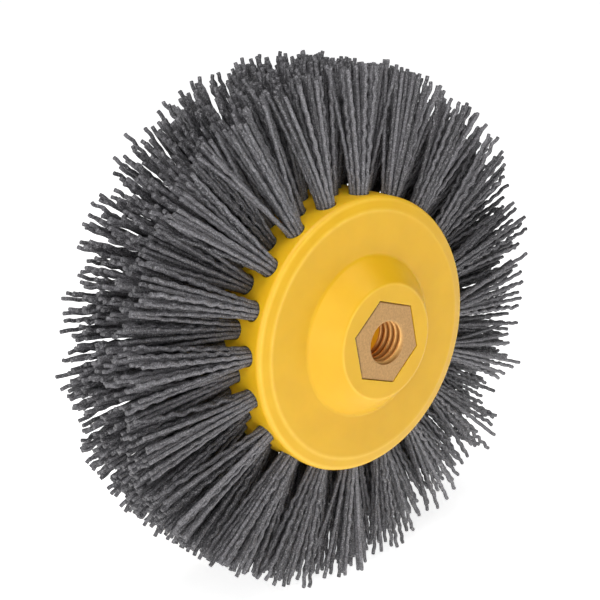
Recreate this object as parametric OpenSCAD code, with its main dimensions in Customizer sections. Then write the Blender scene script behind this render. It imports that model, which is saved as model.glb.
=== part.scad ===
// Radial wheel brush: a drilled plastic hub with a brass hexagon nut moulded into its boss, and
// tufts of thick crimped filament, each folded over a flat wire anchor at the bottom of a blind hole.
// The axis of the wheel lies along Y and the nut faces -Y. The origin is the mouth of the thread.

/* [Brush] */
// Diameter over the trimmed filament tips
brush_d = 150; // [130:5:170]
// Number of rows of tufts, front to back
row_count = 6; // [2:1:7]
// Number of tufts in each row
tufts_per_row = 20; // [12:1:20]
// Distance between the centres of neighbouring rows
row_pitch = 5.6; // [5.6:0.2:8]
// Angle of the first tuft of the front row, from +X towards +Z
first_tuft_angle = 16; // [0:1:17]

/* [Hub] */
// Diameter of the drum that the tufts stand on
hub_d = 80; // [80:1:92]
// Distance from the centre of an outer row to the nearer end face of the drum
row_margin = 6; // [5.9:0.1:9]
// Width of the shallow bevel round the front face
front_bevel_w = 4; // [3:0.1:5]
// Depth of that bevel, along the axis
front_bevel_h = 1.1; // [0.8:0.1:1.4]
// Radius of the rounded edge between the bevel and the drum's surface
front_edge_r = 1.5; // [1:0.1:2]
// Radius of the rounded edge round the back face
back_edge_r = 2; // [1:0.1:3]

/* [Boss] */
// Diameter of the boss where it meets the front face
boss_base_d = 46.6; // [44:0.2:56]
// Diameter of the flat end of the boss
boss_top_d = 33.5; // [32:0.5:38]
// Height of the boss above the front face
boss_h = 7.4; // [4:0.1:12]
// Radius of the hollow corner where the boss meets the front face
boss_fillet_r = 1.3; // [1:0.1:3]
// Radius of the outer edge of the flat end
boss_edge_r = 1.2; // [0.5:0.1:1.5]

/* [Nut and spindle bore] */
// Nominal diameter of the coarse metric thread
thread_d = 14; // [12:2:16]
// Pitch of that thread
thread_pitch = 2; // [1.5:0.25:2]
// Distance across the flats of the nut
nut_af = 22; // [20:1:24]
// Thickness of the nut
nut_h = 10; // [8:0.5:14]
// Angle of one corner of the nut, from +X towards +Z
nut_angle = 42.8; // [0:0.1:59]
// Gap between a flat of the nut and its pocket
nut_gap = 0.12; // [0.05:0.01:0.2]
// Diameter of the clear bore behind the nut
bore_d = 14.5; // [13:0.5:18]
// Width of the bevel at the back end of that bore
bore_bevel = 1; // [0.5:0.1:2]

/* [Tufts and anchors] */
// Diameter of the blind hole that holds a tuft
hole_d = 5.8; // [4.5:0.1:5.9]
// Depth of that hole below the drum's surface
hole_depth = 12; // [9:0.5:12]
// Gap all round a tuft in its hole
tuft_gap = 0.05; // [0.03:0.01:0.1]
// Least space between neighbouring tufts at their tips
tip_gap = 0.6; // [0.4:0.1:2]
// Thickness of the anchor wire
anchor_t = 0.5; // [0.4:0.05:0.8]
// Height of the anchor, along the hole
anchor_h = 2.5; // [2:0.1:3]
// How far each end of the anchor bites into the wall of the hole
anchor_bite = 0.4; // [0.2:0.05:0.6]
// Distance from the bottom of the hole to the anchor, where the filaments fold
anchor_lift = 1.4; // [1:0.1:2]

/* [Hidden] */
hub_r = hub_d / 2;
hub_w = 2 * row_margin + (row_count - 1) * row_pitch;
hub_back = -boss_h - hub_w;
column_count = 2 * tufts_per_row;
column_step = 360 / column_count;
hole_bottom_r = hub_r - hole_depth;
anchor_r = hole_bottom_r + anchor_lift;
anchor_l = hole_d + 2 * anchor_bite;
tuft_d = hole_d - 2 * tuft_gap;

// A tuft's tip keeps tip_gap to the next tuft of its own column and to those of the columns beside it.
column_gap_at_tip = PI * brush_d / column_count;
tip_spacing = min(2 * row_pitch, sqrt(pow(column_gap_at_tip, 2) + pow(row_pitch, 2)));
tip_d = tip_spacing - tip_gap;

// The bore of the nut is drawn at the minor diameter of its thread.
thread_minor_d = thread_d - 1.0825 * thread_pitch;
pocket_af = nut_af + 2 * nut_gap;

// Slope of the boss's side, and how far a blend of unit radius reaches along it.
boss_slope = atan2(boss_h, (boss_base_d - boss_top_d) / 2);
blend_reach = tan(boss_slope / 2);

// Slope of the front bevel, and how far the centre of its rounded edge lies behind its outer corner.
bevel_slope = atan2(front_bevel_h, front_bevel_w);
bevel_setback = front_edge_r * (1 - sin(bevel_slope)) / cos(bevel_slope);

// Overlap of a cutting shape past the surface that it opens.
cut = 2;
$fn = 96;

columns = [for (c = [1 : column_count]) str("tufts_", c < 10 ? "0" : "", c)];
anchor_rows = [for (r = [1 : row_count]) str("anchors_row_", r)];

// Shapes are drawn with the wheel's axis upright and the mouth of the thread at z = 0, then laid down.
module on_wheel_axis() {
    rotate([90, 0, 0]) children();
}

// Places its children on a radius of the wheel, +Z outwards from the axis, X along the wheel's axis.
module on_radius(angle, row) {
    rotate([0, 0, angle])
        translate([0, 0, -boss_h - row_margin - row * row_pitch])
            rotate([0, 90, 0]) children();
}

// The rows that a column carries: every second one, odd and even columns taking turns.
function rows_of(column) = [for (row = [column % 2 : 2 : row_count - 1]) row];
function column_angle(column) = first_tuft_angle + column * column_step;

// A hexagonal prism, its top face at z = 0 and one corner at nut_angle.
module hexagon(across_flats, height) {
    rotate([0, 0, nut_angle])
        translate([0, 0, -height])
            cylinder(d = across_flats / cos(30), h = height, $fn = 6);
}

// What a rounding of radius r takes off a corner, between the outward normals of its two sides.
module corner_waste(centre, normal_a, normal_b, r) {
    reach = r + cut;
    translate(centre) difference() {
        polygon([[0, 0], normal_a * reach, (normal_a + normal_b) * reach, normal_b * reach]);
        circle(r);
    }
}

// Half of the hub's section: drum, front bevel, boss and their rounded edges.
module hub_section() {
    forward = [0, 1];
    outward = [1, 0];
    side = [cos(boss_slope), -sin(boss_slope)];
    side_normal = [sin(boss_slope), cos(boss_slope)];
    bevel_normal = [sin(bevel_slope), cos(bevel_slope)];
    top_reach = boss_edge_r * blend_reach;
    base_reach = boss_fillet_r * blend_reach;
    boss_top = [boss_top_d / 2, 0];
    boss_base = [boss_base_d / 2, -boss_h];
    fillet_centre = boss_base + [base_reach, boss_fillet_r];
    bevel_corner = [hub_r, -boss_h - front_bevel_h];
    difference() {
        polygon([
            [0, 0],
            boss_top,
            boss_base - side * base_reach,
            fillet_centre,
            boss_base + [base_reach, 0],
            [hub_r - front_bevel_w, -boss_h],
            bevel_corner,
            [hub_r, hub_back],
            [0, hub_back]
        ]);
        translate(fillet_centre) circle(boss_fillet_r);
        corner_waste(boss_top - [top_reach, boss_edge_r], forward, side_normal, boss_edge_r);
        corner_waste(bevel_corner - [front_edge_r, bevel_setback], bevel_normal, outward, front_edge_r);
        corner_waste([hub_r, hub_back] + back_edge_r * [-1, 1], outward, -forward, back_edge_r);
    }
}

// The flat wire anchor across a hole, and the space that it takes up in the hub and in the tuft.
module anchor_bar() {
    translate([-anchor_l / 2, -anchor_t / 2, anchor_r])
        cube([anchor_l, anchor_t, anchor_h]);
}

module tuft_hole() {
    translate([0, 0, hole_bottom_r]) cylinder(d = hole_d, h = hole_depth + cut);
    anchor_bar();
}

module spindle_bore() {
    translate([0, 0, hub_back - cut]) cylinder(d = bore_d, h = cut - hub_back);
    translate([0, 0, hub_back])
        cylinder(d1 = bore_d + 2 * bore_bevel, d2 = bore_d, h = bore_bevel);
}

// Drum and boss in one, drilled for every tuft, with the nut's pocket and the bore behind it.
module hub() {
    color("gold") on_wheel_axis() difference() {
        rotate_extrude() hub_section();
        hexagon(pocket_af, nut_h);
        spindle_bore();
        for (column = [0 : column_count - 1])
            for (row = rows_of(column))
                on_radius(column_angle(column), row) tuft_hole();
    }
}

// Brass hexagon nut, flush with the end of the boss.
module nut_insert() {
    color("tan") on_wheel_axis() difference() {
        hexagon(nut_af, nut_h);
        translate([0, 0, -nut_h - cut]) cylinder(d = thread_minor_d, h = nut_h + 2 * cut);
    }
}

// One tuft: the folded end in its hole, then the bundle spreading to the trimmed tips.
module tuft() {
    difference() {
        union() {
            translate([0, 0, hole_bottom_r]) cylinder(d = tuft_d, h = hole_depth);
            translate([0, 0, hub_r]) cylinder(d1 = tuft_d, d2 = tip_d, h = brush_d / 2 - hub_r);
        }
        anchor_bar();
    }
}

// All tufts that stand at one angle, front to back.
module tuft_column(column) {
    color("dimgray") on_wheel_axis()
        for (row = rows_of(column)) on_radius(column_angle(column), row) tuft();
}

// The anchors of one row, one to a tuft.
module anchor_row(row) {
    color("silver") on_wheel_axis()
        for (column = [row % 2 : 2 : column_count - 1])
            on_radius(column_angle(column), row) anchor_bar();
}

hub();
nut_insert();
for (c = [0 : column_count - 1]) tuft_column(c);
for (r = [0 : row_count - 1]) anchor_row(r);
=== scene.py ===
"""Looks for the wheel brush: crimped filaments, a threaded brass nut, and the hub's plastic."""
import math

import bpy
import numpy as np
from mathutils import Matrix, Vector


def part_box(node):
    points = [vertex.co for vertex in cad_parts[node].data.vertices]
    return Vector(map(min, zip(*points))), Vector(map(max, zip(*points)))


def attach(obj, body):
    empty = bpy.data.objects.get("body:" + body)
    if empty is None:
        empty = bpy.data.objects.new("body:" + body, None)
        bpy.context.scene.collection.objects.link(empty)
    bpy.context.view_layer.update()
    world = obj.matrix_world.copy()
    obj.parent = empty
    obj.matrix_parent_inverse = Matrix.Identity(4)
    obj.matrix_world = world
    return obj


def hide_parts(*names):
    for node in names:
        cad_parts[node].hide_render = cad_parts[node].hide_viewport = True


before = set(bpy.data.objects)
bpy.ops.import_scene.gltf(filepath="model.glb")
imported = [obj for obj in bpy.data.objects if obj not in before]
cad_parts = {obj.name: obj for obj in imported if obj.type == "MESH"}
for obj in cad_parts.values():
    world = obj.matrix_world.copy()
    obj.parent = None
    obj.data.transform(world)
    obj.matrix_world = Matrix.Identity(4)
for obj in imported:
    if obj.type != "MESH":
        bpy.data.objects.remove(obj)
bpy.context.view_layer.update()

MM = 0.001

# Places read from the frame. The wheel's axis is the Y axis, and the nut's face is at y = 0.
HUB_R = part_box("hub")[1].x
NUT_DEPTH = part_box("nut_insert")[1].y
NUT_CORNER = math.radians(42.8)
TUFT_NODES = sorted(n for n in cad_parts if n.startswith("tufts_"))
COLUMN_STEP = math.tau / len(TUFT_NODES)
FIRST_ANGLE = math.radians(16)
BRUSH_R = 75 * MM
BOSS_H = 7.4 * MM
ROW_MARGIN = 6 * MM
ROW_PITCH = 5.6 * MM
ROW_COUNT = 6
HOLE_DEPTH = 12 * MM
HOLE_R = 2.9 * MM

# The filament: its radius, the ends in a tuft, the sides of its section, the length and height of its
# waves, the points along an end, the spread of a tuft round and along the wheel, the lean and scatter
# of its tips, the share of ends that are trimmed unevenly, and how far the edge of a cut is rounded.
FIL_R = 0.585 * MM
ENDS = 18
SIDES = 8
WAVE = 4.3 * MM
WAVE_A = 0.23 * MM
STEPS_OUT = 52
FAN = np.array([3.8, 2.3])
SWEEP_BACK = 3.6 * MM
TIP_SCATTER = 1.1 * MM
STRAY_SHARE = 0.05
BURR = 0.07 * MM
rng = np.random.default_rng(7)

# The studio: the strength of the sky at the horizon and overhead, and of the floor's glow by the brush
# and further out. Each light has a name, azimuth and elevation in degrees, distance and size in metres,
# and power in watts.
SKY_LOW, SKY_HIGH = 0.85, 0.0
GLOW_NEAR, GLOW_FAR = 0.8, 0.95
LIGHTS = [
    ("side", -75, 12, 1.0, 0.5, 2.1),
    ("high_side", -72, 63, 1.0, 0.5, 2.7),
    ("key", -47, 6, 1.0, 0.5, 0.9),
    ("high_key", -50, 38, 1.0, 0.5, 1.7),
    ("fill", 30, 62, 1.0, 0.5, 1.2),
    ("top", -40, 82, 1.0, 0.5, 3.0),
]


# ---------------------------------------------------------------- meshes

def new_piece(name, verts, faces):
    mesh = bpy.data.meshes.new(name)
    mesh.from_pydata(verts, [], faces)
    mesh.update()
    piece = bpy.data.objects.new(name, mesh)
    bpy.context.scene.collection.objects.link(piece)
    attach(piece, "root")
    return piece


def point_values(piece, name, values):
    layer = piece.data.attributes.new(name, "FLOAT", "POINT")
    layer.data.foreach_set("value", values.astype(np.float32).ravel())


def pack_ends(count, radius, gap):
    """Random places for filaments in a round hole, pushed apart until they sit side by side."""
    angle = rng.uniform(0, math.tau, count)
    place = radius * np.sqrt(rng.uniform(0, 1, count))[:, None] * np.c_[np.cos(angle), np.sin(angle)]
    for _ in range(160):
        apart = place[:, None] - place[None]
        dist = np.linalg.norm(apart, axis=2) + 1e-9
        push = np.clip(gap - dist, 0, None)
        np.fill_diagonal(push, 0)
        place = place + (apart / dist[..., None] * push[..., None]).sum(1) * 0.3
        out = np.linalg.norm(place, axis=1)
        place *= np.minimum(1, radius / np.maximum(out, 1e-9))[:, None]
    return place


def end_paths(mouth, lean, phase, plane):
    """Lateral offsets and heights of filament ends, from the mouth of the hole to the tips."""
    count = len(mouth)
    reach = rng.normal(1, 0.16, (count, 1))
    tip = mouth * FAN * reach + rng.normal(0, TIP_SCATTER, (count, 2)) + lean
    trim = BRUSH_R + rng.normal(0.3 * MM, 0.6 * MM, count)
    stray = rng.random(count) < STRAY_SHARE
    trim += np.where(stray, rng.uniform(-2.5, 2.0, count) * MM, 0)
    height = np.sqrt(trim ** 2 - tip[:, 0] ** 2)
    s = np.linspace(0, 1, STEPS_OUT)
    rise = HUB_R + (height[:, None] - HUB_R) * s
    way = rise - HUB_R
    spread = s ** rng.uniform(0.95, 1.35, (count, 1))
    lateral = mouth[:, None] + (tip - mouth)[:, None] * spread[..., None]
    grow = np.clip((way - 0.5 * MM) / (5 * MM), 0, 1)
    size = WAVE_A * rng.lognormal(-0.05, 0.28, count)[:, None] * grow
    beat = 1 + 0.35 * np.sin(math.tau * way / (17 * MM) + rng.uniform(0, math.tau, count)[:, None])
    wave = WAVE * rng.normal(1, 0.08, count)[:, None]
    turn = math.tau * way / wave + (phase + rng.normal(0, 1.3, count))[:, None]
    turn = turn + 0.6 * np.sin(math.tau * way / (13 * MM) + rng.uniform(0, math.tau, count)[:, None])
    face = plane + rng.normal(0, 0.7, count)
    swing = np.stack([np.cos(face), np.sin(face)], 1)
    side = np.stack([-np.sin(face), np.cos(face)], 1)
    kink = np.arcsin(0.95 * np.sin(turn)) / math.asin(0.95)
    lateral = lateral + swing[:, None] * (size * beat * kink)[..., None]
    lateral = lateral + side[:, None] * (0.2 * size * np.sin(0.61 * turn + face[:, None]))[..., None]
    return lateral, rise


def fold_paths(mouth):
    """Lateral offsets and heights from the fold under the anchor up to the mouth of the hole."""
    bottom = HUB_R - HOLE_DEPTH
    heights = bottom + np.array([0.62, 1.05, 2.4, 5.0, 9.0]) * MM
    squeeze = np.array([0.45, 0.85, 1.0, 1.0, 1.0])
    clear = 0.25 * MM + FIL_R
    across = np.sign(mouth[:, 0]) * np.maximum(np.abs(mouth[:, 0]), clear)
    down = np.empty((len(mouth), 5, 2))
    down[..., 0] = across[:, None] * squeeze
    down[..., 1] = mouth[:, 1:2]
    return down, np.broadcast_to(heights, (len(mouth), 5))


def burr(end, before):
    """One more point just past a cut end, where the edge of the cut is rounded over."""
    out = end - before
    return (end + out / np.linalg.norm(out, axis=1, keepdims=True) * BURR)[:, None]


def tuft_filaments(angle, row):
    """Centre lines of one tuft: each filament runs from one tip, round the anchor, to the other tip."""
    mouth = pack_ends(ENDS, HOLE_R - FIL_R - 0.14 * MM, 2 * FIL_R)
    mouth = mouth[np.argsort(mouth[:, 0])]
    half = ENDS // 2
    left = mouth[:half][np.argsort(mouth[:half, 1])]
    right = mouth[half:][np.argsort(mouth[half:, 1])]
    left[:, 0] = np.minimum(left[:, 0], -1e-6)
    right[:, 0] = np.maximum(right[:, 0], 1e-6)
    lean = rng.normal([0, SWEEP_BACK], [0.9 * MM, 0.6 * MM])
    phase, plane = rng.uniform(0, math.tau), rng.uniform(0, math.pi)
    lines = []
    for ends in (left, right):
        out, out_h = end_paths(ends, lean, phase, plane)
        down, down_h = fold_paths(ends)
        lateral = np.concatenate([down, out], 1)
        height = np.concatenate([down_h, out_h], 1)
        lines.append(np.concatenate([lateral, height[..., None]], 2))
    line = np.concatenate([lines[0][:, ::-1], lines[1]], 1)
    line = np.concatenate([burr(line[:, 0], line[:, 1]), line, burr(line[:, -1], line[:, -2])], 1)
    out_dir = np.array([math.cos(angle), 0, math.sin(angle)])
    round_dir = np.array([-math.sin(angle), 0, math.cos(angle)])
    along = np.array([0, 1, 0])
    depth = BOSS_H + ROW_MARGIN + row * ROW_PITCH
    return line[..., 2:3] * out_dir + line[..., 0:1] * round_dir + (line[..., 1:2] + depth) * along


def tubes(lines, radius):
    """Vertices and faces of closed tubes with flat ends along many centre lines of equal point count."""
    count, points, _ = lines.shape
    tangent = np.gradient(lines, axis=1)
    tangent /= np.linalg.norm(tangent, axis=2, keepdims=True)
    normal = np.empty_like(lines)
    start = np.cross(tangent[:, 0], [0.31, 0.9, 0.2])
    normal[:, 0] = start / np.linalg.norm(start, axis=1, keepdims=True)
    for i in range(1, points):
        n = normal[:, i - 1]
        n = n - (n * tangent[:, i]).sum(1, keepdims=True) * tangent[:, i]
        normal[:, i] = n / np.linalg.norm(n, axis=1, keepdims=True)
    binormal = np.cross(tangent, normal)
    turn = np.arange(SIDES) * math.tau / SIDES
    rough = radius * (1 + rng.normal(0, 0.025, (count, points, 1, 1)))
    rough[:, [0, -1]] *= 0.82
    ring = normal[:, :, None] * np.cos(turn)[:, None] + binormal[:, :, None] * np.sin(turn)[:, None]
    verts = (lines[:, :, None] + ring * rough).reshape(-1, 3)
    base = (np.arange(count) * points * SIDES)[:, None, None]
    ring_at = (np.arange(points - 1) * SIDES)[None, :, None]
    k = np.arange(SIDES)[None, None]
    nxt = (k + 1) % SIDES
    quads = np.stack([base + ring_at + k, base + ring_at + nxt,
                      base + ring_at + SIDES + nxt, base + ring_at + SIDES + k], -1).reshape(-1, 4)
    first = (np.arange(count) * points * SIDES)[:, None] + np.arange(SIDES)[::-1]
    last = (np.arange(count) * points * SIDES + (points - 1) * SIDES)[:, None] + np.arange(SIDES)
    return verts, quads.tolist() + first.tolist() + last.tolist()


def tuft_column(index, node, material):
    """All filaments of one column of tufts, as one piece."""
    angle = FIRST_ANGLE + index * COLUMN_STEP
    lines = np.concatenate([tuft_filaments(angle, row) for row in range(index % 2, ROW_COUNT, 2)])
    verts, faces = tubes(lines, FIL_R)
    piece = new_piece("filaments_" + node[-2:], verts, faces)
    caps = np.zeros(len(faces), bool)
    caps[-2 * len(lines):] = True
    piece.data.polygons.foreach_set("use_smooth", ~caps)
    tone = np.repeat(rng.uniform(0, 1, len(lines)), lines.shape[1] * SIDES)
    cut = np.zeros((len(lines), lines.shape[1], SIDES))
    cut[:, [0, -1]] = 1
    point_values(piece, "tone", tone)
    point_values(piece, "cut", cut)
    piece.data.materials.append(material)
    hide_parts(node)
    return piece


# ---------------------------------------------------------------- nut

def thread_radius(theta, depth):
    """Radius of an M14 x 2 thread at each depth and angle, opened out by a bevel at both ends."""
    major, minor, pitch, start = 7.0 * MM, 5.9175 * MM, 2.0 * MM, 0.07
    phase = (depth[:, None] / pitch + theta[None] / math.tau + start) % 1
    ramp = np.abs(phase - 0.5) * 2
    thread = minor + (major - minor) * np.clip((ramp - 0.25) / 0.625, 0, 1)
    bevel = major - 0.45 * MM - 2.5 * np.minimum(depth, NUT_DEPTH - depth)[:, None]
    return np.maximum(thread, bevel)


def nut_sections(theta, rounds):
    """Rings round the axis: along the thread, over the face and down the side to the back."""
    flat, edge = 11.0 * MM, 0.28 * MM
    fold = (theta - NUT_CORNER) % (math.tau / 6) - math.tau / 12
    hexagon = flat / np.cos(fold)
    depth = np.linspace(0, NUT_DEPTH, rounds + 1)
    thread = thread_radius(theta, depth)
    rings = [(thread[i], depth[i]) for i in range(rounds, -1, -1)]
    mouth = thread[0]
    for share in (0.25, 0.5, 0.75):
        rings.append((mouth + (hexagon - edge - mouth) * share, 0.0))
    rings.append((hexagon - edge - 0.35 * MM, 0.0))
    rings.append((hexagon - edge, 0.0))
    rings.append((hexagon, edge))
    rings.append((hexagon, NUT_DEPTH - edge))
    rings.append((hexagon - edge, NUT_DEPTH))
    return rings


def closed_faces(total, steps):
    """Quads of a ring-shaped grid that closes on itself both ways."""
    faces = []
    for i in range(total):
        for k in range(steps):
            a, b = i * steps + k, i * steps + (k + 1) % steps
            c, d = (i + 1) % total * steps + (k + 1) % steps, (i + 1) % total * steps + k
            faces.append((a, b, c, d))
    return faces


def threaded_nut(material):
    """The hexagon nut with its cut thread, as one closed ring of sections round the axis."""
    steps, rounds = 144, 11 * 18
    theta = np.arange(steps) * math.tau / steps + NUT_CORNER
    rings = nut_sections(theta, rounds)
    verts = np.concatenate([np.stack([r * np.cos(theta), np.full(steps, y), r * np.sin(theta)], 1)
                            for r, y in rings])
    faces = closed_faces(len(rings), steps)
    piece = new_piece("threaded_nut", verts, faces)
    smooth = np.zeros(len(faces), bool)
    smooth[:rounds * steps] = True
    piece.data.polygons.foreach_set("use_smooth", smooth)
    # Dark brown on the hexagon's front edge and side: partly grime, partly painted shade of the gap to the
    # hub's pocket, strongest towards -X and up and weakest towards +X and down.
    grime_and_gap_shade = np.zeros((len(rings), steps))
    grime_and_gap_shade[-4] = 0.45
    grime_and_gap_shade[-3:-1] = 1
    grime_and_gap_shade *= np.clip(0.55 - 0.6 * np.cos(theta + 0.35), 0.2, 1)
    point_values(piece, "grime_and_gap_shade", grime_and_gap_shade)
    piece.data.materials.append(material)
    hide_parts("nut_insert")


# ---------------------------------------------------------------- materials

class Nodes:
    """Short names for building one node material."""

    def __init__(self, name):
        self.material = bpy.data.materials.new(name)
        self.material.use_nodes = True
        self.tree = self.material.node_tree
        self.shader = self.tree.nodes["Principled BSDF"]
        self.place = self.add("ShaderNodeTexCoord").outputs["Object"]

    def add(self, kind, **inputs):
        node = self.tree.nodes.new(kind)
        for key, value in inputs.items():
            self.put(node.inputs[key.replace("_", " ")], value)
        return node

    def put(self, socket, value):
        if isinstance(value, bpy.types.NodeSocket):
            self.tree.links.new(value, socket)
        else:
            socket.default_value = value

    def set(self, **inputs):
        for key, value in inputs.items():
            self.put(self.shader.inputs[key.replace("_", " ")], value)

    def set_all(self, values):
        """Constants for the shader's own inputs, by their full names."""
        for key, value in values.items():
            self.shader.inputs[key].default_value = value

    def attribute(self, name):
        node = self.add("ShaderNodeAttribute")
        node.attribute_name = name
        return node.outputs["Fac"]

    def xyz(self):
        parts = self.add("ShaderNodeSeparateXYZ", Vector=self.place)
        return [parts.outputs[key] for key in "XYZ"]

    def from_axis(self, x, z):
        """Distance from the wheel's axis."""
        return self.math("SQRT", self.math("ADD", self.math("MULTIPLY", x, x), self.math("MULTIPLY", z, z)))

    def noise(self, size, detail=2.0, rough=0.5):
        """Noise with features about size across, in metres."""
        node = self.add("ShaderNodeTexNoise", Vector=self.place, Scale=1 / size,
                        Detail=detail, Roughness=rough)
        return node.outputs["Fac"]

    def ramp(self, value, stops):
        node = self.add("ShaderNodeValToRGB", Fac=value)
        for point, (at, colour) in zip(node.color_ramp.elements, stops):
            point.position = at
            point.color = (*colour, 1)
        return node.outputs["Color"]

    def band(self, value, low, high, to_low=0.0, to_high=1.0):
        """The value from low to high, stretched to run from to_low to to_high and held there."""
        node = self.add("ShaderNodeMapRange", Value=value)
        for key, number in (("From Min", low), ("From Max", high), ("To Min", to_low), ("To Max", to_high)):
            node.inputs[key].default_value = number
        return node.outputs["Result"]

    def mix(self, share, a, b, kind="MIX"):
        node = self.tree.nodes.new("ShaderNodeMix")
        node.data_type = "RGBA"
        node.blend_type = kind
        self.put(node.inputs["Factor"], share)
        self.put(node.inputs["A"], a if not isinstance(a, tuple) else (*a, 1))
        self.put(node.inputs["B"], b if not isinstance(b, tuple) else (*b, 1))
        return node.outputs["Result"]

    def math(self, kind, a, b=None):
        node = self.tree.nodes.new("ShaderNodeMath")
        node.operation = kind
        for socket, value in zip(node.inputs, (a, b)):
            if value is not None:
                self.put(socket, value)
        return node.outputs["Value"]

    def bump(self, height, depth, strength=1.0, under=None):
        node = self.add("ShaderNodeBump", Height=height, Distance=depth, Strength=strength)
        if under is not None:
            self.put(node.inputs["Normal"], under)
        return node.outputs["Normal"]


def filament_material():
    """Grit-filled nylon: grey, no two alike, full of pale and dark grains, with a rough skin."""
    m = Nodes("grit_filament")
    base = m.ramp(m.attribute("tone"), [(0.0, (0.043, 0.042, 0.046)), (1.0, (0.170, 0.166, 0.178))])
    cloud = m.band(m.noise(2.2 * MM, 3), 0.3, 0.7, 0.78, 1.18)
    base = m.mix(1.0, base, m.mix(cloud, (0, 0, 0), (1, 1, 1)), "MULTIPLY")
    pits = m.band(m.noise(0.46 * MM, 2), 0.38, 0.50, 1.0, 0.0)
    base = m.mix(m.math("MULTIPLY", pits, 0.7), base, (0.014, 0.013, 0.015))
    grain = m.band(m.noise(0.40 * MM, 2, 0.6), 0.53, 0.62)
    base = m.mix(m.math("MULTIPLY", grain, 0.6), base, (0.37, 0.362, 0.38))
    base = m.mix(m.math("MULTIPLY", m.attribute("cut"), 0.6), base, (0.07, 0.069, 0.072))
    m.set(Base_Color=base, Roughness=m.band(m.noise(0.5 * MM, 2), 0.3, 0.7, 0.34, 0.62))
    m.set(Normal=m.bump(m.noise(0.30 * MM, 3, 0.65), 0.14 * MM, 1.0))
    return m.material


def painted_edge_highlights(m, radius, depth):
    """Painted highlight rings on the front bevel's two edges and the boss's edge."""
    share = None
    for at, half in ((HUB_R - 4 * MM, 0.9 * MM), (HUB_R - 0.9 * MM, 0.8 * MM), (16.5 * MM, 0.5 * MM)):
        line = m.band(m.math("ABSOLUTE", m.math("SUBTRACT", radius, at)), 0, half, 1, 0)
        share = line if share is None else m.math("MAXIMUM", share, line)
    return m.math("MULTIPLY", share, m.band(depth, 10 * MM, 12 * MM, 1, 0))


def hub_skin(m, radius):
    """Fine grain, turning marks on the faces, and slightly rounded sharp edges."""
    rings = m.add("ShaderNodeTexNoise", Scale=1.0, Detail=3.0, Roughness=0.6)
    rings.noise_dimensions = "1D"
    m.put(rings.inputs["W"], m.math("MULTIPLY", radius, 1 / (0.35 * MM)))
    grain = m.bump(m.noise(0.5 * MM, 3), 0.012 * MM, 0.5)
    marks = m.bump(rings.outputs["Fac"], 0.006 * MM, 0.4, under=grain)
    soft = m.add("ShaderNodeBevel", Radius=0.35 * MM, Normal=marks)
    soft.samples = 4
    m.set(Normal=soft.outputs["Normal"])


def hub_material():
    """Satin yellow plastic, slightly mottled, with painted highlight lines along its front edges.

    A faint amber glow on the bore's wall behind the nut stands for light that comes through the plastic.
    """
    m = Nodes("yellow_plastic")
    x, y, z = m.xyz()
    radius = m.from_axis(x, z)
    mottle = m.band(m.noise(9 * MM, 3), 0.3, 0.7)
    base = m.mix(mottle, (0.690, 0.388, 0.008), (0.735, 0.420, 0.010))
    # Painted highlight lines on the front edges: broken up by noise, full on the -X side and fading to 0.3
    # towards +X, as the light falls from the left.
    ragged = m.band(m.noise(4 * MM, 3), 0.3, 0.7, 0.45, 0.75)
    ragged = m.math("MULTIPLY", ragged, m.band(x, -10 * MM, 30 * MM, 1, 0.3))
    painted_highlight = m.math("MULTIPLY", painted_edge_highlights(m, radius, y), ragged)
    # Mixes the painted highlight's pale yellow into the base colour.
    m.set(Base_Color=m.mix(painted_highlight, base, (0.86, 0.57, 0.080)))
    m.set(Roughness=m.band(m.noise(3 * MM, 4), 0.3, 0.7, 0.36, 0.46))
    hub_skin(m, radius)
    in_bore = m.band(radius, 8.0 * MM, 7.6 * MM)
    m.set(Emission_Strength=m.math("MULTIPLY", in_bore, m.band(y, 18 * MM, 32 * MM, 0.25, 0)))
    m.set_all({"Emission Color": (0.85, 0.46, 0.016, 1), "Specular IOR Level": 0.35})
    m.set_all({"Subsurface Weight": 0.25, "Subsurface Scale": 1.0 * MM})
    m.set_all({"Subsurface Radius": (2.5, 1.2, 0.3)})
    return m.material


def brass_material():
    """Dull faced brass outside, dark along the edges and corners with grime and painted gap shade, bright
    in the thread with painted shade in its grooves.
    """
    m = Nodes("nut_brass")
    x, y, z = m.xyz()
    inside = m.band(y, 0.1 * MM, 0.5 * MM)
    # Painted shade deep in the thread, darker towards the roots of its grooves.
    groove_shade = m.band(m.from_axis(x, z), 6.05 * MM, 6.75 * MM, 0.0, 0.75)
    mottle = m.band(m.noise(0.7 * MM, 4, 0.7), 0.3, 0.7)
    face = m.mix(mottle, (0.355, 0.200, 0.072), (0.575, 0.335, 0.125))
    stain = m.band(m.noise(2.5 * MM, 4, 0.6), 0.45, 0.75, 0.0, 0.4)
    face = m.mix(stain, face, (0.36, 0.20, 0.075))
    ragged = m.band(m.noise(1.2 * MM, 3), 0.3, 0.7, 0.6, 1.2)
    # Grime and painted gap shade along the hexagon's edges and sides, broken up by noise.
    grime_and_gap_shade = m.math("MULTIPLY", m.attribute("grime_and_gap_shade"), ragged)
    face = m.mix(grime_and_gap_shade, face, (0.085, 0.050, 0.014))
    bright = m.mix(m.noise(0.8 * MM, 2), (0.76, 0.39, 0.11), (0.88, 0.52, 0.18))
    # Mixes the painted groove shade into the bright thread colour.
    bright = m.mix(groove_shade, bright, (0.30, 0.11, 0.018))
    m.set(Base_Color=m.mix(inside, face, bright))
    m.set(Metallic=m.band(inside, 0, 1, 0.4, 0.45))
    m.set(Roughness=m.band(inside, 0, 1, 0.55, 0.28))
    m.set(Normal=m.bump(m.noise(0.25 * MM, 3), 0.03 * MM, 0.5))
    return m.material


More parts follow.
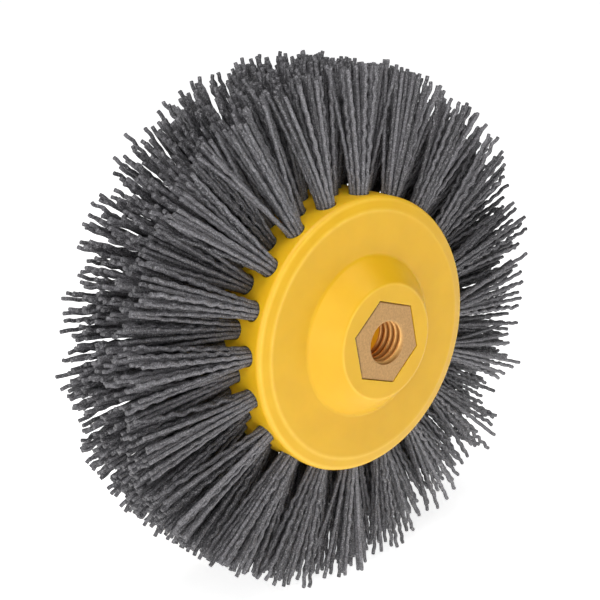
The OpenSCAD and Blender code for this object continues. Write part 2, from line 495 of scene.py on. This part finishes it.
def steel_material():
    """Flat rolled wire."""
    m = Nodes("anchor_wire")
    streak = m.noise(0.4 * MM, 3)
    m.set(Base_Color=m.mix(streak, (0.45, 0.45, 0.46), (0.60, 0.60, 0.61)))
    m.set(Roughness=m.band(streak, 0, 1, 0.25, 0.45))
    m.set(Normal=m.bump(streak, 0.01 * MM, 0.3), Metallic=1.0)
    return m.material


def give(node, material):
    """Puts the material in every slot of a node's own mesh."""
    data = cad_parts[node].data
    for i in range(len(data.materials)):
        data.materials[i] = material
    if not data.materials:
        data.materials.append(material)


# ---------------------------------------------------------------- stage

def floor_material():
    """Matt white sheet, lit from below, more so further out."""
    m = Nodes("pale_floor")
    m.set(Base_Color=m.mix(m.noise(60 * MM, 2), (0.86, 0.86, 0.86), (0.88, 0.88, 0.88)))
    m.set_all({"Roughness": 0.9, "Emission Color": (1, 1, 1, 1)})
    out = m.add("ShaderNodeVectorMath", Vector=m.place)
    out.operation = "LENGTH"
    m.set(Emission_Strength=m.band(out.outputs["Value"], 0.10, 0.45, GLOW_NEAR, GLOW_FAR))
    return m.material


def make_floor(level):
    size = 30.0
    verts = [(-size, -size, level), (size, -size, level), (size, size, level), (-size, size, level)]
    mesh = bpy.data.meshes.new("floor")
    mesh.from_pydata(verts, [], [(0, 1, 2, 3)])
    mesh.materials.append(floor_material())
    floor = bpy.data.objects.new("floor", mesh)
    bpy.context.scene.collection.objects.link(floor)


def direction(azimuth, elevation):
    """Away from the brush. Azimuth 0 is in front of the nut, positive towards +X. Both are in degrees."""
    turn, lift = math.radians(azimuth), math.radians(elevation)
    return Vector((math.sin(turn) * math.cos(lift), -math.cos(turn) * math.cos(lift), math.sin(lift)))


def area_light(name, azimuth, elevation, distance, size, power):
    """A round soft light, turned to the brush."""
    away = direction(azimuth, elevation)
    data = bpy.data.lights.new(name, "AREA")
    data.shape = "DISK"
    data.size = size
    data.energy = power
    lamp = bpy.data.objects.new(name, data)
    lamp.location = Vector((0, 0.02, 0)) + away * distance
    lamp.rotation_euler = away.to_track_quat("Z", "Y").to_euler()
    bpy.context.scene.collection.objects.link(lamp)


def make_world():
    """White light from the horizon that fades out higher up."""
    world = bpy.data.worlds.new("studio")
    world.use_nodes = True
    tree = world.node_tree
    coords = tree.nodes.new("ShaderNodeTexCoord")
    parts = tree.nodes.new("ShaderNodeSeparateXYZ")
    height = tree.nodes.new("ShaderNodeMapRange")
    for key, number in (("From Min", 0.14), ("From Max", 0.30), ("To Min", SKY_LOW), ("To Max", SKY_HIGH)):
        height.inputs[key].default_value = number
    tree.links.new(coords.outputs["Generated"], parts.inputs["Vector"])
    tree.links.new(parts.outputs["Z"], height.inputs["Value"])
    tree.links.new(height.outputs["Result"], tree.nodes["Background"].inputs["Strength"])
    tree.nodes["Background"].inputs["Color"].default_value = (1, 1, 1, 1)
    bpy.context.scene.world = world


def make_camera():
    """A long lens, to the left of the nut and a little above it."""
    aim, distance = Vector((-12.45, 22.39, 9.72)) * MM, 0.4104
    back = direction(-41.69, 16.657)
    data = bpy.data.cameras.new("camera")
    data.lens = 87.23
    data.sensor_width = 36
    data.clip_start = 0.01
    camera = bpy.data.objects.new("camera", data)
    turn = back.to_track_quat("Z", "Y").to_matrix().to_4x4()
    camera.matrix_world = Matrix.Translation(aim + back * distance) @ turn
    bpy.context.scene.collection.objects.link(camera)
    bpy.context.scene.camera = camera


make_camera()
give("hub", hub_material())
steel = steel_material()
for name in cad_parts:
    if name.startswith("anchors_"):
        give(name, steel)
threaded_nut(brass_material())
grit = filament_material()
columns = [tuft_column(i, node, grit) for i, node in enumerate(TUFT_NODES)]
make_floor(min(v.co.z for column in columns for v in column.data.vertices))
make_world()
for light in LIGHTS:
    area_light(*light)
bpy.context.scene.view_settings.view_transform = "Standard"
